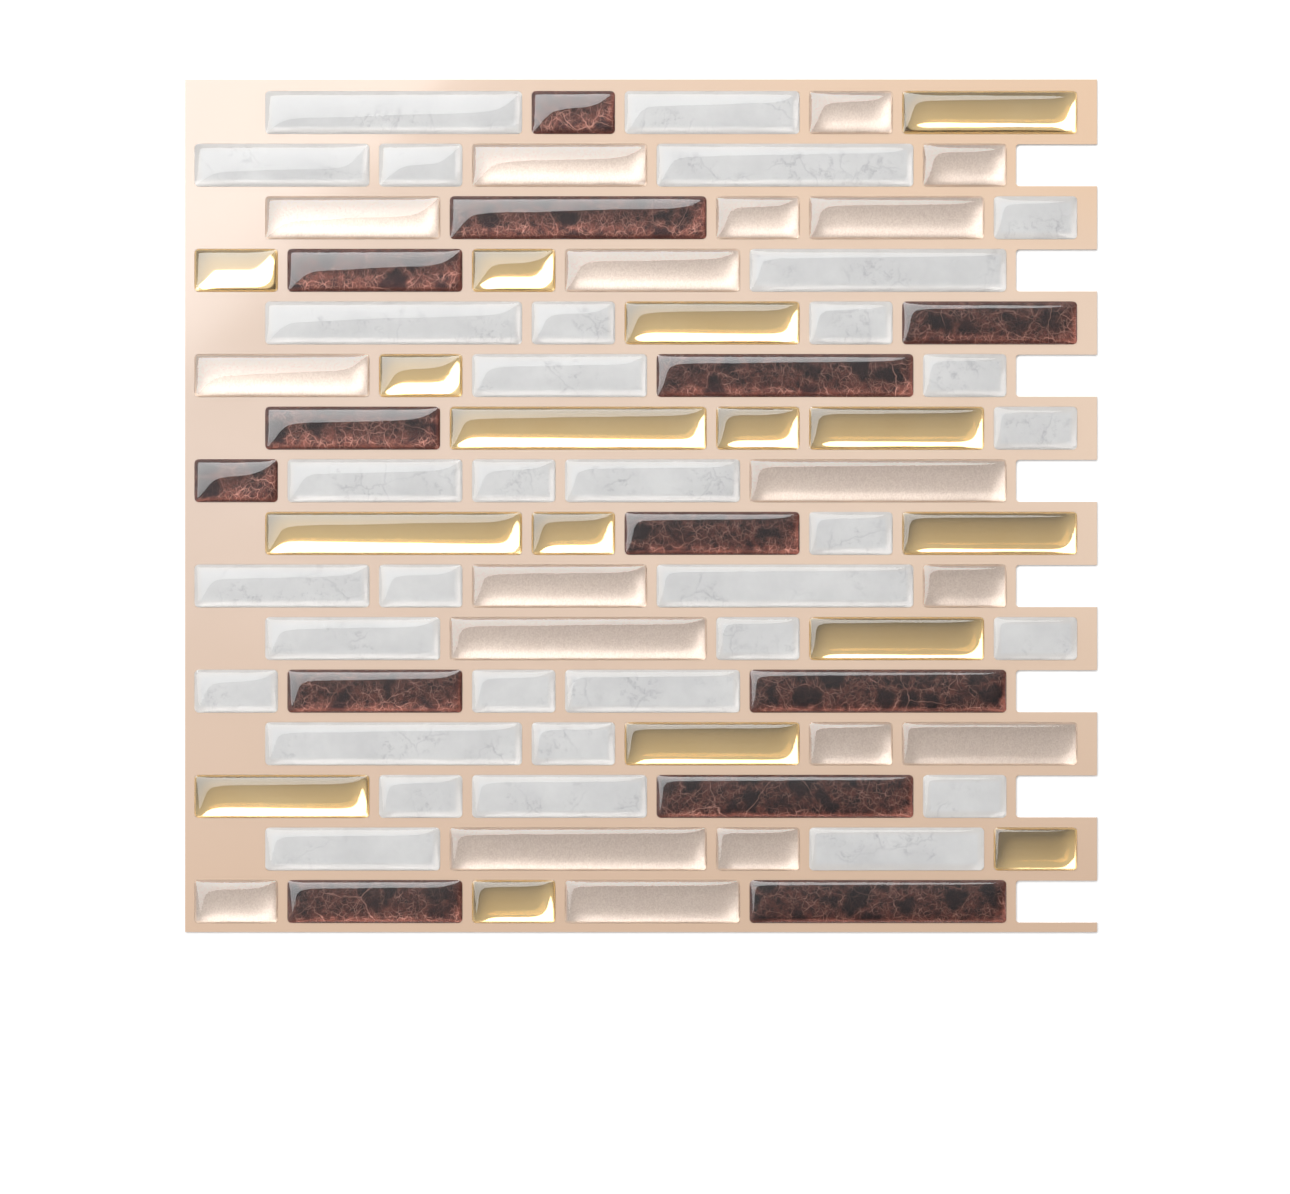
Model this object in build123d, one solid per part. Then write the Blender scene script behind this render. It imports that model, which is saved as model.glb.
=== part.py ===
import os
from build123d import *

# A peel and stick backsplash tile that looks like interlocking mosaic: a printed film, eighty domed
# gel chips cast on its face, and the paper liner that is peeled off its sticky back.
# The sheet lies flat with its face up. X runs along the rows, Y up the wall, Z out of the face.
# The origin is under the middle of the sheet's box, on the liner's underside.

# Layers
liner_thickness = 0.12
film_thickness = 0.48
film_bottom = liner_thickness
film_top = film_bottom + film_thickness

# Mosaic pattern
small_length = 23.3
medium_length = 48.8
long_length = 71.6
chip_height = 12.05
joint = 2.6
row_count = 16

# Film outline round the pattern
side_margin = 2.6
top_margin = 3.2
bottom_margin = 2.45
tip_margin = 5.5
finger_length = 22.6
notch_height = 11.7
notch_corner_radius = 1.0

# Gel chip: an upright rim, a tight shoulder and a gently rounded crown.
# Its small round corners are one flat cut each, so that eighty chips stay light.
rim_height = 0.2
shoulder_reach = 1.2
shoulder_rise = 0.65
crown_rise = 0.55
corner_cut = 0.9
gel_height = rim_height + shoulder_rise + crown_rise

# Chip lengths of the rows from the left, which repeat down the sheet
LENGTHS = {"S": small_length, "M": medium_length, "L": long_length}
ROW_PATTERNS = ("LSMSM", "MSMLS", "MLSMS", "SMSML")

# Finishes of each row's chips from the left, from the top row down
FINISHES = {"W": "white_marble", "D": "brown_marble", "G": "gold", "C": "champagne"}
ROW_FINISHES = (
    "WDWCG", "WWCWC", "CDCCW", "GDGCW",
    "WWGWD", "CGWDW", "DGGGW", "DWWWC",
    "GGDWG", "WWCWC", "WCWGW", "WDWWD",
    "WWGCC", "GWWDW", "WCCWG", "CDGCD",
)

# The longest row sets the width of the body, and the fingers stand out of it to the right.
row_pitch = chip_height + joint
row_length = max(
    sum(LENGTHS[size] for size in pattern) + joint * (len(pattern) - 1) for pattern in ROW_PATTERNS
)
body_width = side_margin + row_length + side_margin
sheet_width = body_width + finger_length
sheet_height = top_margin + row_count * row_pitch - joint + bottom_margin
left_edge = -sheet_width / 2
right_edge = sheet_width / 2
top_edge = sheet_height / 2


def row_middle(row):
    """Y of the middle of a row, counted from 0 at the top."""
    return top_edge - top_margin - chip_height / 2 - row * row_pitch


def reaches_fingers(row):
    """Every other row, from the top one on, is shifted right and ends on a finger."""
    return row % 2 == 0


def row_start(row):
    """X of a row's left end. A shifted row leaves room for the next sheet's finger."""
    if reaches_fingers(row):
        return right_edge - tip_margin - row_length
    return left_edge + side_margin


def sheet_outline():
    """Comb-edged outline: a rectangle with a notch between fingers at each unshifted row."""
    notch = Rectangle(finger_length, notch_height, align=(Align.MAX, Align.CENTER))
    notches = [
        Pos(right_edge, row_middle(row)) * notch
        for row in range(row_count)
        if not reaches_fingers(row)
    ]
    outline = Rectangle(sheet_width, sheet_height) - notches
    tips_and_roots = outline.vertices().group_by(Axis.X)
    return fillet(tips_and_roots[-2], notch_corner_radius)


def dome(plane, span, flat, width):
    """Bar of the chip's domed section: a flat middle falls away over crown, shoulder and rim."""
    shoulder_top = rim_height + shoulder_rise
    crown = TangentArc((-flat / 2, gel_height), (shoulder_reach - span / 2, shoulder_top), tangent=(-1, 0))
    shoulder = TangentArc((shoulder_reach - span / 2, shoulder_top), (-span / 2, rim_height), tangent=crown % 1)
    arcs = [crown, shoulder]
    arcs += [mirror(arc, Plane.YZ) for arc in arcs]
    straights = [
        Line((-span / 2, rim_height), (-span / 2, 0)),
        Line((-span / 2, 0), (span / 2, 0)),
        Line((span / 2, 0), (span / 2, rim_height)),
    ]
    if flat > 0:
        straights.append(Line((-flat / 2, gel_height), (flat / 2, gel_height)))
    return extrude(plane * make_face(arcs + straights), width / 2, both=True)


def gel_chip(length):
    """Pillow-shaped chip on the origin, domed both across its height and at its two ends."""
    footprint = chamfer(Rectangle(length, chip_height).vertices(), corner_cut)
    across = dome(Plane.YZ, chip_height, 0, length)
    along = dome(Plane.XZ, length, length - chip_height, chip_height)
    return extrude(footprint, gel_height) & across & along


def row_chips(row, chips):
    """The chips of one row at their places, grouped by finish."""
    groups = {}
    left = row_start(row)
    for size, finish in zip(ROW_PATTERNS[row % len(ROW_PATTERNS)], ROW_FINISHES[row]):
        place = Pos(left + LENGTHS[size] / 2, row_middle(row), film_top)
        groups.setdefault(FINISHES[finish], []).append(place * chips[size])
        left += LENGTHS[size] + joint
    return groups


os.makedirs("parts", exist_ok=True)

outline = sheet_outline()
export_step(extrude(outline, liner_thickness), "parts/release_liner.step")
export_step(Pos(0, 0, film_bottom) * extrude(outline, film_thickness), "parts/printed_film.step")

chips = {size: gel_chip(length) for size, length in LENGTHS.items()}
for row in range(row_count):
    for finish, group in row_chips(row, chips).items():
        export_step(Compound(children=group), f"parts/row_{row + 1:02}_{finish}_chips.step")
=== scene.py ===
import math
import bpy
import numpy as np
from mathutils import Matrix, Vector


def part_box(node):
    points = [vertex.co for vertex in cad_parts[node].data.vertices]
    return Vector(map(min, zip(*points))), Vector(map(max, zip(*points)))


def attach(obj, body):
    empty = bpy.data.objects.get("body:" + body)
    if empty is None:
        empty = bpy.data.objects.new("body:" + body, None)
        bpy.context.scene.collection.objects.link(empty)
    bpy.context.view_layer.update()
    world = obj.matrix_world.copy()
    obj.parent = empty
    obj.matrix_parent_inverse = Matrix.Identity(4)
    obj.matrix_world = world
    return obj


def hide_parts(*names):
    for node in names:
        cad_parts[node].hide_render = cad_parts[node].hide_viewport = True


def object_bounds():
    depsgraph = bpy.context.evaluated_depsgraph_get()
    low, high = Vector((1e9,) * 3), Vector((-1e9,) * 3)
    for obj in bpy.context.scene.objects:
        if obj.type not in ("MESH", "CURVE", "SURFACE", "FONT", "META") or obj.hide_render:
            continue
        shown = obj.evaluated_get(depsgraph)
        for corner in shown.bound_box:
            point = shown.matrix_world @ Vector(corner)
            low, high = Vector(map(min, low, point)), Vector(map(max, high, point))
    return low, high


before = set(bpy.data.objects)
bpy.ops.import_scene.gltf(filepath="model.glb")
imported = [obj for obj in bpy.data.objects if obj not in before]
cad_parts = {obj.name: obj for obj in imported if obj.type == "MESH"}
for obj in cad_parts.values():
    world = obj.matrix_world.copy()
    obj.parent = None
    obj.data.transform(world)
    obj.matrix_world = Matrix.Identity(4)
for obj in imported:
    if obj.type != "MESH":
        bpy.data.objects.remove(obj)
cadBox = [list(corner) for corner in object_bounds()]
body = "root"
mm = 0.001
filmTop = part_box("printed_film")[1][2]
upperLeft = Vector((-1, 1, 0)).normalized()  # from the sheet's middle towards the softbox
rimAngle = math.radians(35)  # a sharper edge between two faces isn't shaded round


# Nodes and meshes

def addNode(tree, kind, inputs=None, **settings):
    # inputs are values or sockets, settings are the node's own options
    made = tree.nodes.new("ShaderNode" + kind)
    for key, value in settings.items():
        setattr(made, key, value)
    for key, value in (inputs or {}).items():
        if isinstance(value, bpy.types.NodeSocket):
            tree.links.new(value, made.inputs[key])
        else:
            made.inputs[key].default_value = value
    return made


def newMaterial(name, **plain):
    # a material whose shader takes the given plain values
    material = bpy.data.materials.new(name)
    material.use_nodes = True
    tree = material.node_tree
    shader = tree.nodes["Principled BSDF"]
    for key, value in plain.items():
        shader.inputs[key.replace("_", " ")].default_value = value
    return material, tree, shader


def mark(tree, name, output="Vector"):
    # a value that newPiece wrote on each chip's points
    return addNode(tree, "Attribute", attribute_name=name).outputs[output]


def vectorMath(tree, operation, *values):
    return addNode(tree, "VectorMath", dict(enumerate(values)), operation=operation).outputs[0]


def calculate(tree, operation, *values):
    return addNode(tree, "Math", dict(enumerate(values)), operation=operation).outputs[0]


def dot(tree, first, second):
    made = addNode(tree, "VectorMath", {0: first, 1: second}, operation="DOT_PRODUCT")
    return made.outputs["Value"]


def objectPlace(tree, shift=None):
    # the point on the piece, moved apart for each chip where shift is given
    place = addNode(tree, "TexCoord").outputs["Object"]
    if shift is None:
        return place
    return vectorMath(tree, "MULTIPLY_ADD", shift, mark(tree, "chipTone", "Fac"), place)


def noise(tree, place, scale, detail=2.0, roughness=0.5):
    inputs = {"Vector": place, "Scale": scale, "Detail": detail, "Roughness": roughness}
    return addNode(tree, "TexNoise", inputs).outputs[0]


def spread(tree, value, low, high, toLow=0.0, toHigh=1.0):
    # a value from low to high becomes one from toLow to toHigh, held at the ends
    inputs = {"Value": value, "From Min": low, "From Max": high, "To Min": toLow, "To Max": toHigh}
    return addNode(tree, "MapRange", inputs).outputs["Result"]


def clouds(tree, place, scale, limits, detail=2.0, roughness=0.5, most=1.0):
    # patches of a noise, from 0 at its lower limit to the most at its upper one
    return spread(tree, noise(tree, place, scale, detail, roughness), *limits, 0.0, most)


def bumps(tree, place, scale, depth, detail):
    # heights in metres from a noise
    return times(tree, noise(tree, place, scale, detail), depth)


def times(tree, first, second):
    return calculate(tree, "MULTIPLY", first, second)


def blendColor(tree, amount, first, second):
    # a Mix node's colours are inputs 6 and 7 and output 2
    mix = addNode(tree, "Mix", {"Factor": amount}, data_type="RGBA")
    for socket, value in ((mix.inputs[6], first), (mix.inputs[7], second)):
        if isinstance(value, bpy.types.NodeSocket):
            tree.links.new(value, socket)
        else:
            socket.default_value = (*value, 1.0)
    return mix.outputs[2]


def relief(tree, shader, *heights):
    # the heights in metres, added up and shaded as slopes of the surface and of its coat
    total = heights[0]
    for height in heights[1:]:
        total = calculate(tree, "ADD", total, height)
    made = addNode(tree, "Bump", {"Height": total, "Strength": 1.0, "Distance": 1.0})
    tree.links.new(made.outputs["Normal"], shader.inputs["Normal"])
    tree.links.new(made.outputs["Normal"], shader.inputs["Coat Normal"])


def newPiece(name, grids, marks, material):
    # one mesh object at the origin from several grids, with each one's marks on all its points
    points, faces, smooth, sizes = gatherGrids(grids)
    mesh = bpy.data.meshes.new(name)
    mesh.from_pydata(points.tolist(), [], faces)
    mesh.polygons.foreach_set("use_smooth", smooth)
    for label, values in marks.items():
        kind, field = ("FLOAT", "value") if np.ndim(values) == 1 else ("FLOAT_VECTOR", "vector")
        made = mesh.attributes.new(label, kind, "POINT")
        made.data.foreach_set(field, np.repeat(values, sizes, axis=0).ravel())
    mesh.materials.append(material)
    mesh.validate()
    mesh.set_sharp_from_angle(angle=rimAngle)
    piece = bpy.data.objects.new(name, mesh)
    bpy.context.scene.collection.objects.link(piece)
    return piece


# Chips: a clear gel dome over a print on the film

chip = {
    "cornerRadius": 1.35 * mm,
    "levelLength": 1.8 * mm,  # the gel's surface levels out over about this inset
    "rimShare": 0.2,  # of the dome's height, taken by a tighter rounding at its rim
    "rimLength": 0.35 * mm,
    "rows": 33,
    "columns": (33, 49),  # in the shortest and the longest chip
    "sink": 0.05 * mm,  # the gel's foot is below the print's face
    "wave": 0.02,  # of the dome's height
    "waveLength": 30 * mm,
    "crossWave": (1.7, 2.0),  # turns along x and y of the second wave, for each turn of the first
    "printInset": 0.05 * mm,
    "printRise": 0.01 * mm,
    "printHollow": 0.295 * mm,  # the print is shaded as rising this far towards its sides
    "hollowReach": 0.85 * mm,
    "printLean": 0.012,  # and as rising this much per length up to the upper left
    "leastGap": 0.5 * mm,  # between two chips of a node
    "seed": 11,
}
finishes = ("white_marble", "brown_marble", "gold", "champagne")


def chipSpans(node):
    # left and right end of each chip in a node: its triangles' spans along x, merged
    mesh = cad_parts[node].data
    mesh.calc_loop_triangles()
    corners = np.empty(len(mesh.loop_triangles) * 3, dtype=np.int32)
    mesh.loop_triangles.foreach_get("vertices", corners)
    places = np.empty(len(mesh.vertices) * 3, dtype=np.float32)
    mesh.vertices.foreach_get("co", places)
    x = places.reshape(-1, 3)[corners, 0].reshape(-1, 3)
    low, high = x.min(axis=1), x.max(axis=1)
    order = np.argsort(low)
    low, reach = low[order], np.maximum.accumulate(high[order])
    cuts = np.flatnonzero(low[1:] > reach[:-1] + chip["leastGap"]) + 1
    return list(zip(low[np.r_[0, cuts]], reach[np.r_[cuts - 1, len(reach) - 1]]))


def chipGrid(halfX, halfY, radius, rows, columns):
    # a grid over a rounded rectangle, close near its sides: y = b * sin(90 degrees * v), and
    # x = u * the outline's half width at that y, with u a sine too
    across, along = (np.sin(np.linspace(-1, 1, count) * math.pi / 2) for count in (rows, columns))
    y = halfY * across
    past = np.maximum(np.abs(y) - (halfY - radius), 0)
    reach = halfX - radius + np.sqrt(np.maximum(radius ** 2 - past ** 2, 0))
    return np.stack((reach[:, None] * along, np.repeat(y[:, None], columns, axis=1)), axis=2)


def levelled(place, half):
    # height between two sides: 1 - cosh(place / l) / cosh(half / l), for a long l and a short one,
    # each with its share
    fall = 0
    shares = (1 - chip["rimShare"], chip["rimShare"])
    for share, length in zip(shares, (chip["levelLength"], chip["rimLength"])):
        fall = fall + share * np.cosh(place / length) / np.cosh(half / length)
    return 1 - fall


def gelDome(span, low, high, random):
    # height = crown * levelled along * levelled across * (1 + wave * (mean of two slow sines - 1))
    halfX, halfY = (span[1] - span[0]) / 2, (high[1] - low[1]) / 2
    columns = int(np.interp(halfX * 2, chipLengths, chip["columns"]))
    grid = chipGrid(halfX, halfY, chip["cornerRadius"], chip["rows"], columns)
    x, y = grid[:, :, 0], grid[:, :, 1]
    height = (high[2] - low[2]) * levelled(x, halfX) * levelled(y, halfY) / levelled(0, halfY)
    phase = random.uniform(0, 2 * math.pi, 2)
    turn = 2 * math.pi / chip["waveLength"]
    crossX, crossY = (turn * share for share in chip["crossWave"])
    wave = np.sin(turn * x + phase[0]) + np.sin(crossX * x + crossY * y + phase[1])
    z = low[2] + height * (1 + chip["wave"] * (wave / 2 - 1))
    middle = ((span[0] + span[1]) / 2, (high[1] + low[1]) / 2)
    return np.stack((x + middle[0], y + middle[1], z), axis=2), low[2] - chip["sink"]


def printSlab(span, low, high):
    # a thin rounded slab with the print on its upper face, just inside the gel's foot
    inset = chip["printInset"]
    halfX, halfY = (span[1] - span[0]) / 2 - inset, (high[1] - low[1]) / 2 - inset
    grid = chipGrid(halfX, halfY, chip["cornerRadius"] - inset, chip["rows"], 2)
    middle = ((span[0] + span[1]) / 2, (high[1] + low[1]) / 2)
    z = np.full(grid.shape[:2], low[2] + chip["printRise"])
    return np.dstack((grid + middle, z)), low[2] - chip["sink"] / 2


def gatherGrids(grids):
    # one mesh from several grids: each one's quads, a wall from its edge to its foot, and the foot
    points, faces, smooth, sizes = [], [], [], []
    for grid, foot in grids:
        first = sum(sizes)
        rows, columns = grid.shape[:2]
        index = first + np.arange(rows * columns).reshape(rows, columns)
        quads = np.stack((index[:-1, :-1], index[:-1, 1:], index[1:, 1:], index[1:, :-1]), axis=2)
        edge = np.concatenate((index[0, :-1], index[:-1, -1], index[-1, :0:-1], index[:0:-1, 0]))
        below = grid.reshape(-1, 3)[edge - first].copy()
        below[:, 2] = foot
        lower = first + rows * columns + np.arange(len(edge))
        wall = np.stack((lower, np.roll(lower, -1), np.roll(edge, -1), edge), axis=1)
        points += [grid.reshape(-1, 3), below]
        faces += quads.reshape(-1, 4).tolist() + wall.tolist() + [lower[::-1].tolist()]
        smooth += [columns > 2] * (rows - 1) * (columns - 1)  # a print is flat, a dome isn't
        smooth += [False] * (len(wall) + 1)
        sizes.append(rows * columns + len(edge))
    return np.concatenate(points), faces, smooth, sizes


# Finishes

gel = {
    "ior": {"white_marble": 1.45, "brown_marble": 1.52, "gold": 1.52, "champagne": 1.52},
    "roughness": 0.01,
    "ripple": {"scale": 110, "depth": 0.006 * mm, "detail": 1.0},
    "coatIor": 1.7,
    "coat": {"white_marble": 0.0, "brown_marble": 0.38, "gold": 0.4, "champagne": 0.3},
}


def gelMaterial(finish):
    material, tree, shader = newMaterial(
        f"clear gel on {finish.replace('_', ' ')}", Base_Color=(1, 1, 1, 1),
        IOR=gel["ior"][finish], Roughness=gel["roughness"], Transmission_Weight=1.0,
        Coat_Weight=gel["coat"][finish], Coat_IOR=gel["coatIor"], Coat_Roughness=gel["roughness"],
    )
    relief(tree, shader, bumps(tree, objectPlace(tree), **gel["ripple"]))
    return material


def leaning(tree, rise):
    # height = rise * the distance up to the upper left
    return dot(tree, objectPlace(tree), upperLeft * rise)


def fromSides(tree):
    # distances from the chip's nearest end and from its nearest long side
    place = vectorMath(tree, "SUBTRACT", objectPlace(tree), mark(tree, "chipMiddle"))
    return vectorMath(tree, "SUBTRACT", mark(tree, "chipHalf"), vectorMath(tree, "ABSOLUTE", place))


def hollow(tree):
    # height = hollow * (1 + u + u * u / 2) * exp(-u), with u = d / reach, added up for the
    # distances d from the nearest end and from the nearest long side
    away = vectorMath(tree, "MULTIPLY", fromSides(tree), (1 / chip["hollowReach"],) * 3)
    sides = addNode(tree, "SeparateXYZ", {0: away}).outputs
    rises = []
    for axis in "XY":
        part = calculate(tree, "MULTIPLY_ADD", sides[axis], 0.5, 1.0)
        part = calculate(tree, "MULTIPLY_ADD", sides[axis], part, 1.0)
        rises.append(times(tree, part, calculate(tree, "EXPONENT", times(tree, sides[axis], -1.0))))
    return times(tree, calculate(tree, "ADD", *rises), chip["printHollow"])


def inset(tree):
    # distance from the chip's nearest side
    sides = addNode(tree, "SeparateXYZ", {0: fromSides(tree)}).outputs
    return calculate(tree, "MINIMUM", sides["X"], sides["Y"])


def cells(tree, place, scale, feature="F1"):
    inputs = {"Vector": place, "Scale": scale}
    return addNode(tree, "TexVoronoi", inputs, feature=feature, voronoi_dimensions="2D").outputs


def swayed(tree, place, scale, reach):
    # the place pushed about by a coloured noise
    sway = addNode(tree, "TexNoise", {"Vector": place, "Scale": scale, "Detail": 3.0})
    return vectorMath(tree, "MULTIPLY_ADD", sway.outputs["Color"], (reach,) * 3, place)


def net(tree, place, scale, width, strength=1.0):
    # lines of the given width between cells
    away = cells(tree, place, scale, "DISTANCE_TO_EDGE")["Distance"]
    return spread(tree, away, 0.0, width, strength, 0.0)


white = {  # scales are per metre, limits are of a noise from 0 to 1, and a net's width is in cells
    "shift": (3.1, 1.7, 0.9),  # moves each chip's pattern by this, in metres, times its tone
    "roughness": 0.1,
    "ink": ((0.78, 0.78, 0.78), (0.87, 0.87, 0.865)),
    "inkClouds": {"scale": 75, "limits": (0.34, 0.66), "detail": 5.0, "roughness": 0.6},
    "sway": (300, 4 * mm),
    "groups": {"scale": 70, "limits": (0.47, 0.60)},  # where smudges and lines are
    "smudges": {
        "scale": 380, "limits": (0.52, 0.68), "detail": 5.0, "roughness": 0.75, "most": 0.45,
    },
    "smudgeColor": (0.40, 0.40, 0.42),
    "lines": {"scale": 70, "width": 0.03, "strength": 0.28},
    "lineColor": (0.45, 0.45, 0.47),
    "sideTintAndSheenInset": (1.2 * mm, 2.4 * mm),  # distances from a side over which the warmth fades out
    "sideTintAndSheenShare": 0.4,
    "sideTintAndSheenColor": (0.93, 0.86, 0.80),
    "thinMetal": 0.06,
}


def whiteMarble():
    # pale grey ink with faint clouds, small smudges and thin lines, warmer at its sides
    material, tree, shader = newMaterial(
        "white marble print", Roughness=white["roughness"], Specular_IOR_Level=0.0,
    )
    place = objectPlace(tree, white["shift"])
    bent = swayed(tree, place, *white["sway"])
    group = clouds(tree, place, **white["groups"])
    smudge = times(tree, clouds(tree, bent, **white["smudges"]), group)
    line = times(tree, net(tree, bent, **white["lines"]), group)
    sideTintAndSheen = spread(tree, inset(tree), *white["sideTintAndSheenInset"], 1.0, 0.0)
    color = blendColor(tree, clouds(tree, place, **white["inkClouds"]), *white["ink"])
    color = blendColor(tree, smudge, color, white["smudgeColor"])
    color = blendColor(tree, line, color, white["lineColor"])
    color = blendColor(tree, times(tree, sideTintAndSheen, white["sideTintAndSheenShare"]), color, white["sideTintAndSheenColor"])
    tree.links.new(color, shader.inputs["Base Color"])
    tree.links.new(times(tree, sideTintAndSheen, white["thinMetal"]), shader.inputs["Metallic"])
    relief(tree, shader, leaning(tree, chip["printLean"]), hollow(tree))
    return material


brown = {
    "shift": (2.3, 3.7, 1.9),
    "roughness": 0.18,
    "metal": 0.3,
    "sways": ((120, 4 * mm), (450, 1.8 * mm)),
    "ink": ((0.024, 0.011, 0.011), (0.18, 0.060, 0.044)),
    "mottle": {"scale": 420, "limits": (0.38, 0.64), "detail": 7.0, "roughness": 0.72},
    # nets of veins, as cells per metre, width in cells and strength: under the patches, then over
    "fineNets": ((1100, 0.12, 0.35), (620, 0.08, 0.6), (330, 0.045, 0.75)),
    "wideNets": ((150, 0.018, 0.6), (70, 0.011, 0.8)),
    "veinColor": (0.70, 0.36, 0.28),
    "breakShare": 0.6,  # of a net's scale, in the noise that breaks up its veins
    "breaks": {"limits": (0.44, 0.64), "detail": 3.0},
    "patchScale": 150,
    "patchPick": (0.45, 0.65),  # limits of a cell's random value, over which it turns into a patch
    "patchEdge": {"low": 0.03, "high": 0.22, "toHigh": 0.85},
    "patchColor": (0.014, 0.008, 0.010),
    # a lighter red near the sides: a painted highlight along the rim
    "sideTintAndSheenInset": (0.3 * mm, 1.6 * mm),
    "sideTintAndSheenShare": 0.45,
    "sideTintAndSheenColor": (0.42, 0.14, 0.10),
    "grain": {"scale": 1500, "depth": 0.02 * mm, "detail": 3.0},
}


def veins(tree, color, place, bent, nets):
    # pale lines of each net, broken up by a noise
    for scale, width, strength in nets:
        where = clouds(tree, place, scale * brown["breakShare"], most=strength, **brown["breaks"])
        line = times(tree, net(tree, bent, scale, width), where)
        color = blendColor(tree, line, color, brown["veinColor"])
    return color


def brownMarble():
    # mottled brown with nets of pale veins and near black patches, redder and lighter at its sides
    # as a painted highlight
    material, tree, shader = newMaterial(
        "brown marble print", Roughness=brown["roughness"], Metallic=brown["metal"],
        Specular_IOR_Level=0.0,
    )
    place = objectPlace(tree, brown["shift"])
    bent = place
    for scale, reach in brown["sways"]:
        bent = swayed(tree, bent, scale, reach)
    color = blendColor(tree, clouds(tree, place, **brown["mottle"]), *brown["ink"])
    color = veins(tree, color, place, bent, brown["fineNets"])
    chosen = spread(tree, cells(tree, bent, brown["patchScale"])["Color"], *brown["patchPick"])
    away = cells(tree, bent, brown["patchScale"], "DISTANCE_TO_EDGE")["Distance"]
    patch = times(tree, spread(tree, away, **brown["patchEdge"]), chosen)
    color = blendColor(tree, patch, color, brown["patchColor"])
    color = veins(tree, color, place, bent, brown["wideNets"])
    # painted highlight: lighter red near the chip's sides
    sideTintAndSheen = spread(tree, inset(tree), *brown["sideTintAndSheenInset"], brown["sideTintAndSheenShare"], 0.0)
    color = blendColor(tree, sideTintAndSheen, color, brown["sideTintAndSheenColor"])
    tree.links.new(color, shader.inputs["Base Color"])
    grain = bumps(tree, place, **brown["grain"])
    relief(tree, shader, leaning(tree, chip["printLean"]), hollow(tree), grain)
    return material


rimWidth = (0.4 * mm, 0.9 * mm)  # distances from a side over which a foil's rim fades out
gold = {
    "shift": (1.3, 2.9, 0.7),
    "roughness": (0.3, 0.06),  # at the rim, and inside it
    "metal": (0.25, 0.92),
    "rimTintAndSheen": (1.0, 0.68, 0.29),
    "tints": ((0.95, 0.68, 0.32), (1.0, 0.74, 0.38)),
    "tintClouds": {"scale": 40, "limits": (0.3, 0.7), "detail": 3.0},
    "ripple": {"scale": 350, "depth": 0.005 * mm, "detail": 3.0},
}
champagne = {
    "shift": (1.9, 0.8, 2.2),
    "roughness": 0.3,
    "metal": 0.4,
    # a lighter peach at the rim: a painted highlight
    "rimTintAndSheen": (0.98, 0.76, 0.60),
    "tints": ((0.74, 0.605, 0.515), (0.91, 0.78, 0.68)),
    "flakeScale": 3400,
    "flakeDepth": 0.018 * mm,
}


def rimmed(tree, rim, inside):
    # a colour or a plain value at the foil's rim, which fades to the one inside it
    amount = spread(tree, inset(tree), *rimWidth)
    if isinstance(inside, bpy.types.NodeSocket):
        return blendColor(tree, amount, rim, inside)
    return spread(tree, amount, 0.0, 1.0, rim, inside)


def goldFoil():
    material, tree, shader = newMaterial("gold foil print")
    place = objectPlace(tree, gold["shift"])
    color = blendColor(tree, clouds(tree, place, **gold["tintClouds"]), *gold["tints"])
    tree.links.new(rimmed(tree, gold["rimTintAndSheen"], color), shader.inputs["Base Color"])
    tree.links.new(rimmed(tree, *gold["roughness"]), shader.inputs["Roughness"])
    tree.links.new(rimmed(tree, *gold["metal"]), shader.inputs["Metallic"])
    ripple = bumps(tree, place, **gold["ripple"])
    relief(tree, shader, leaning(tree, chip["printLean"]), hollow(tree), ripple)
    return material


def champagneFoil():
    # satin foil of fine flakes that each lean a little
    material, tree, shader = newMaterial(
        "champagne foil print", Roughness=champagne["roughness"], Metallic=champagne["metal"],
    )
    flakes = cells(tree, objectPlace(tree, champagne["shift"]), champagne["flakeScale"])["Color"]
    color = blendColor(tree, spread(tree, flakes, 0.0, 1.0), *champagne["tints"])
    # the rim's lighter peach is a painted highlight
    tree.links.new(rimmed(tree, champagne["rimTintAndSheen"], color), shader.inputs["Base Color"])
    flake = times(tree, flakes, champagne["flakeDepth"])
    relief(tree, shader, leaning(tree, chip["printLean"]), hollow(tree), flake)
    return material


face = {
    "roughness": 0.5,
    "coat": 1.0,
    "coatRoughness": 0.09,
    "coatIor": 1.6,
    "blotches": {"scale": 22, "limits": (0.35, 0.65), "detail": 3.0},
    # tints across the sheet, partly the film's own and partly painted light: the lighter right is
    # painted light, the darker left and bottom are painted shade
    "left": ((0.56, 0.43, 0.345), (0.59, 0.455, 0.37)),
    "right": ((0.65, 0.49, 0.375), (0.67, 0.51, 0.39)),
    "upperRight": (0.66, 0.46, 0.31),
    "upperReach": (60 * mm, 95 * mm),
    "bottomTintAndShade": (0.56, 0.39, 0.275),
    "lean": 0.016,  # the face is shaded as rising this much per length up to the upper left
    "swell": {"scale": 20, "depth": 0.25 * mm, "detail": 1.0},
}


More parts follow.
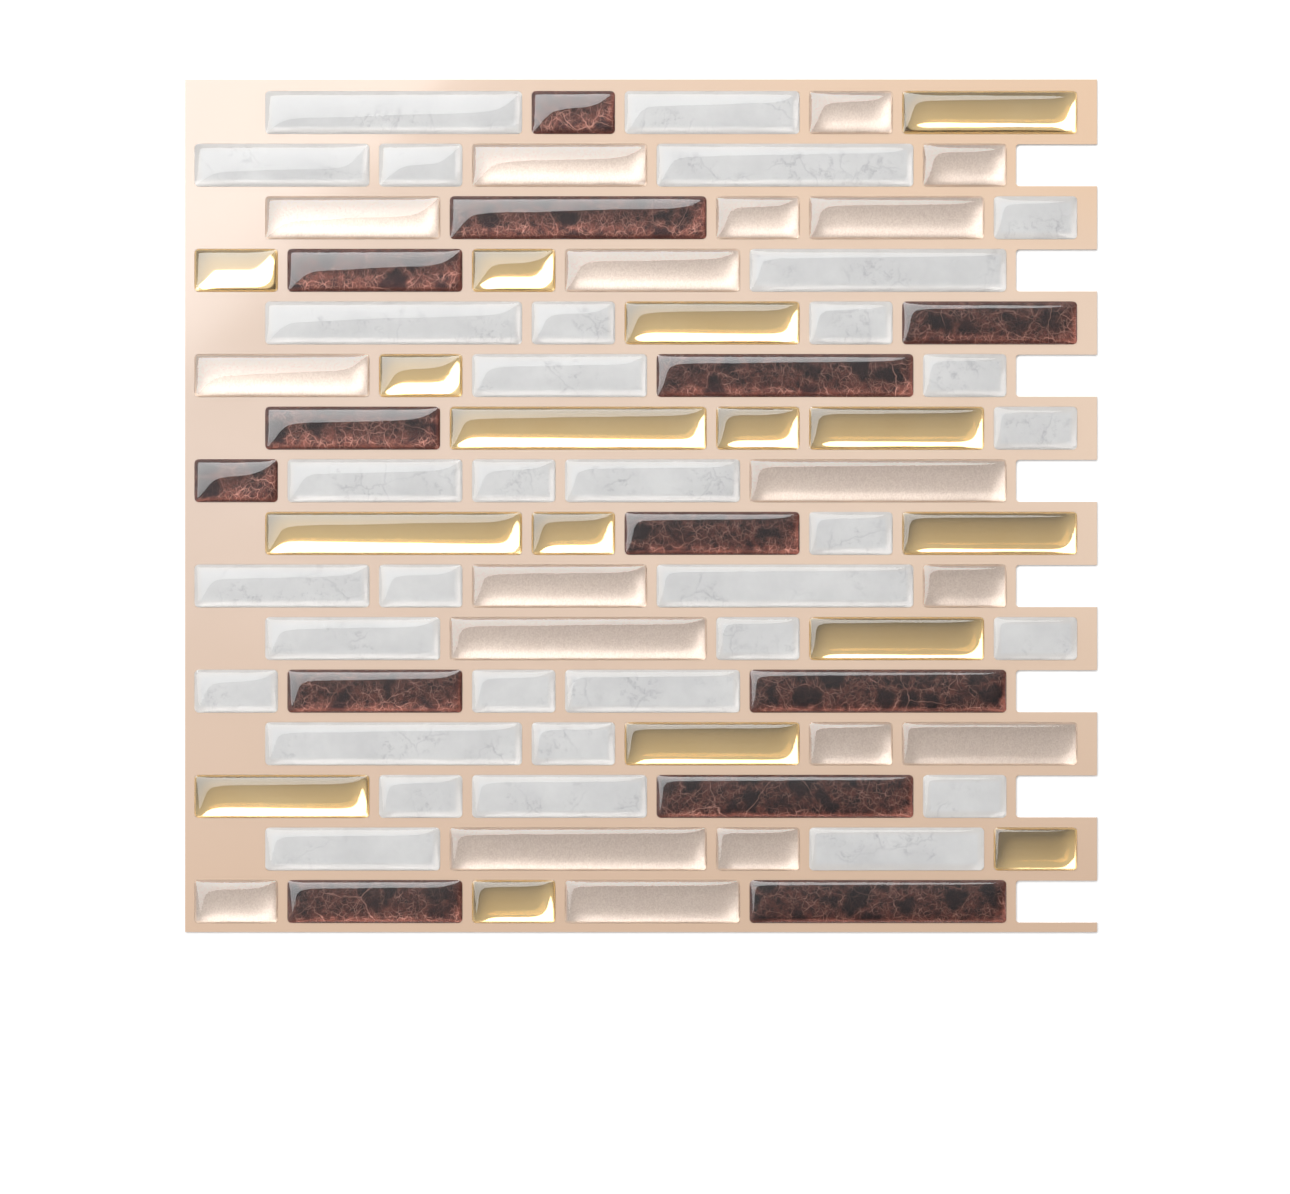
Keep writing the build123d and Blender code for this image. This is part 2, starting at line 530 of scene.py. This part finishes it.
def filmFace():
    # rose beige with soft blotches; its tint across the sheet is partly its own and partly painted
    # light: lighter and warmer towards the fingers, darker and greyer to the left, and darker
    # towards the bottom edge as painted shade
    material, tree, shader = newMaterial(
        "metallised film", Roughness=face["roughness"], Coat_Weight=face["coat"],
        Coat_Roughness=face["coatRoughness"], Coat_IOR=face["coatIor"],
    )
    place = objectPlace(tree)
    sides = addNode(tree, "SeparateXYZ", {0: place}).outputs
    blotch = clouds(tree, place, **face["blotches"])
    left = blendColor(tree, blotch, *face["left"])
    right = blendColor(tree, blotch, *face["right"])
    upper = spread(tree, sides["Y"], *face["upperReach"])
    right = blendColor(tree, upper, right, face["upperRight"])
    # painted light and shade: lighter towards the fingers, darker to the left
    color = blendColor(tree, spread(tree, sides["X"], cadBox[0][0], cadBox[1][0]), left, right)
    # painted shade: darker towards the bottom edge
    color = blendColor(tree, spread(tree, sides["Y"], 0.0, cadBox[0][1]), color, face["bottomTintAndShade"])
    tree.links.new(color, shader.inputs["Base Color"])
    relief(tree, shader, leaning(tree, face["lean"]), bumps(tree, place, **face["swell"]))
    return material


paper = {
    "roughness": 0.7,
    "fibres": {"scale": 900, "limits": (0.3, 0.7), "detail": 4.0, "roughness": 0.6},
    "tints": ((0.80, 0.79, 0.75), (0.86, 0.85, 0.82)),
    "fibreDepth": 0.01 * mm,
}


def linerPaper():
    material, tree, shader = newMaterial("liner paper", Roughness=paper["roughness"])
    fibre = clouds(tree, objectPlace(tree), **paper["fibres"])
    tree.links.new(blendColor(tree, fibre, *paper["tints"]), shader.inputs["Base Color"])
    relief(tree, shader, times(tree, fibre, paper["fibreDepth"]))
    return material


prints = dict(zip(finishes, (whiteMarble(), brownMarble(), goldFoil(), champagneFoil())))
gels = {finish: gelMaterial(finish) for finish in finishes}
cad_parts["printed_film"].material_slots[0].material = filmFace()
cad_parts["release_liner"].material_slots[0].material = linerPaper()
print("finishes made")

random = np.random.default_rng(chip["seed"])
spans = {node: chipSpans(node) for node in sorted(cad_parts) if node.startswith("row_")}
lengths = [end - start for row in spans.values() for start, end in row]
chipLengths = (min(lengths), max(lengths))
slabs = {finish: [] for finish in finishes}
slabMarks = {finish: {"chipTone": [], "chipMiddle": [], "chipHalf": []} for finish in finishes}
for node, row in spans.items():
    finish = next(finish for finish in finishes if finish in node)
    low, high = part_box(node)
    domes, tones = [], []
    for span in row:
        tone = random.uniform()
        domes.append(gelDome(span, low, high, random))
        tones.append(tone)
        slabs[finish].append(printSlab(span, low, high))
        slabMarks[finish]["chipTone"].append(tone)
        slabMarks[finish]["chipMiddle"].append(((span[0] + span[1]) / 2, (low[1] + high[1]) / 2, 0))
        slabMarks[finish]["chipHalf"].append(((span[1] - span[0]) / 2, (high[1] - low[1]) / 2, 0))
    piece = newPiece(f"gel_{node}", domes, {"chipTone": tones}, gels[finish])
    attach(piece, body)
    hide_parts(node)
print("gel domes made")

for finish in finishes:
    piece = newPiece(f"print_{finish}", slabs[finish], slabMarks[finish], prints[finish])
    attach(piece, body)
print("prints made")


# Floor, light and camera

stage = {
    "floorSize": 12.0,
    "floorDrop": 0.02 * mm,
    "floorColor": (0.88, 0.88, 0.88, 1.0),
    "floorRoughness": 0.9,
    "glow": (0.03, 0.5),  # close to the sheet, where its shadow falls, and far off
    "glowReach": (0.3, 2.0),
}
room = {"level": 0.52, "lean": 0.7, "least": 0.14, "wall": 0.9, "wallTop": (0.12, 0.35)}
softbox = {  # each edge is given by its distance towards the upper left, and its height
    "nearEdge": (0.46, 1.70),
    "farEdge": (1.45, 1.35),
    "width": 3.0,
    "radiance": 5.4,
    # where along it the light starts to rise, where it is full, and the share it rises from
    "dimEnd": (0.0, 0.6, 0.6),  # from the lower left end
    "dimEdge": (0.0, 0.75, 0.7),  # from the near edge
}
view = {  # lens and sensor in mm, and places in the photo in pixels
    "lens": 60.0,
    "sensor": 36.0,
    "nearest": 0.01,
    "pixelsWide": 1290,
    "middle": (645, 597),
    "sheetLeft": 185.0,
    "sheetRight": 1097.0,
    "sheetTop": 79.4,
    "sheetBottom": 932.0,
}


def makeFloor():
    half = stage["floorSize"] / 2
    corners = [(-half, -half), (half, -half), (half, half), (-half, half)]
    mesh = bpy.data.meshes.new("floor")
    mesh.from_pydata([(x, y, -stage["floorDrop"]) for x, y in corners], [], [(0, 1, 2, 3)])
    material, tree, shader = newMaterial(
        "white floor", Base_Color=stage["floorColor"], Roughness=stage["floorRoughness"],
    )
    rays = addNode(tree, "LightPath").outputs
    seen = rays["Is Camera Ray"]
    for kind in ("Is Glossy Ray", "Is Transmission Ray"):
        seen = calculate(tree, "MAXIMUM", seen, rays[kind])
    away = addNode(tree, "VectorMath", {0: objectPlace(tree)}, operation="LENGTH").outputs["Value"]
    level = spread(tree, away, *stage["glowReach"], *stage["glow"])
    glow = addNode(tree, "Emission", {"Color": (1, 1, 1, 1), "Strength": times(tree, seen, level)})
    both = addNode(tree, "AddShader", {0: shader.outputs[0], 1: glow.outputs[0]})
    tree.links.new(both.outputs[0], tree.nodes["Material Output"].inputs["Surface"])
    mesh.materials.append(material)
    floor = bpy.data.objects.new("floor", mesh)
    bpy.context.scene.collection.objects.link(floor)


def makeLight():
    # a softbox that leans over the sheet's upper left corner and faces its middle
    side = Vector((1, 1, 0)).normalized()
    edges = (softbox["nearEdge"], softbox["farEdge"])
    near, far = (upperLeft * place + Vector((0, 0, height)) for place, height in edges)
    along = (far - near).normalized()
    lamp = bpy.data.lights.new("softbox", "AREA")
    lamp.shape = "RECTANGLE"
    lamp.size = softbox["width"]
    lamp.size_y = (far - near).length
    lamp.energy = softbox["radiance"] * math.pi * lamp.size * lamp.size_y
    lamp.use_nodes = True
    tree = lamp.node_tree
    across = addNode(tree, "NewGeometry").outputs["Parametric"]
    parts = addNode(tree, "SeparateXYZ", {0: across}).outputs
    ends = spread(tree, parts["X"], *softbox["dimEnd"], 1.0)
    strength = times(tree, ends, spread(tree, parts["Y"], *softbox["dimEdge"], 1.0))
    tree.links.new(strength, tree.nodes["Emission"].inputs["Strength"])
    made = bpy.data.objects.new("softbox", lamp)
    turned = Matrix((side, along, side.cross(along))).transposed().to_4x4()
    made.matrix_world = Matrix.Translation((near + far) / 2) @ turned
    bpy.context.scene.collection.objects.link(made)


def makeRoom():
    # brighter towards the softbox's side, with a white wall low down all round
    world = bpy.data.worlds.new("room")
    bpy.context.scene.world = world
    world.use_nodes = True
    tree = world.node_tree
    ray = addNode(tree, "TexCoord").outputs["Generated"]
    lean = dot(tree, ray, upperLeft * room["lean"])
    upper = calculate(tree, "MAXIMUM", calculate(tree, "ADD", lean, room["level"]), room["least"])
    rise = addNode(tree, "SeparateXYZ", {0: ray}).outputs["Z"]
    wall = spread(tree, rise, *room["wallTop"], 1.0, 0.0)
    # a Mix node's plain values are inputs 2 and 3 and output 0
    level = addNode(tree, "Mix", {"Factor": wall, 2: upper, 3: room["wall"]}, data_type="FLOAT")
    background = tree.nodes["Background"]
    background.inputs["Color"].default_value = (1, 1, 1, 1)
    tree.links.new(level.outputs[0], background.inputs["Strength"])


def makeCamera():
    scale = (cadBox[1][0] - cadBox[0][0]) / (view["sheetRight"] - view["sheetLeft"])
    sheetX = (view["sheetLeft"] + view["sheetRight"]) / 2
    sheetY = (view["sheetTop"] + view["sheetBottom"]) / 2
    data = bpy.data.cameras.new("camera")
    data.lens = view["lens"]
    data.sensor_width = view["sensor"]
    data.clip_start = view["nearest"]
    camera = bpy.data.objects.new("camera", data)
    camera.location = (
        (cadBox[0][0] + cadBox[1][0]) / 2 + (view["middle"][0] - sheetX) * scale,
        (cadBox[0][1] + cadBox[1][1]) / 2 - (view["middle"][1] - sheetY) * scale,
        filmTop + view["lens"] / view["sensor"] * view["pixelsWide"] * scale,
    )
    bpy.context.scene.collection.objects.link(camera)
    bpy.context.scene.camera = camera


makeFloor()
makeLight()
makeRoom()
makeCamera()
bpy.context.scene.view_settings.view_transform = "Standard"
print("stage made")
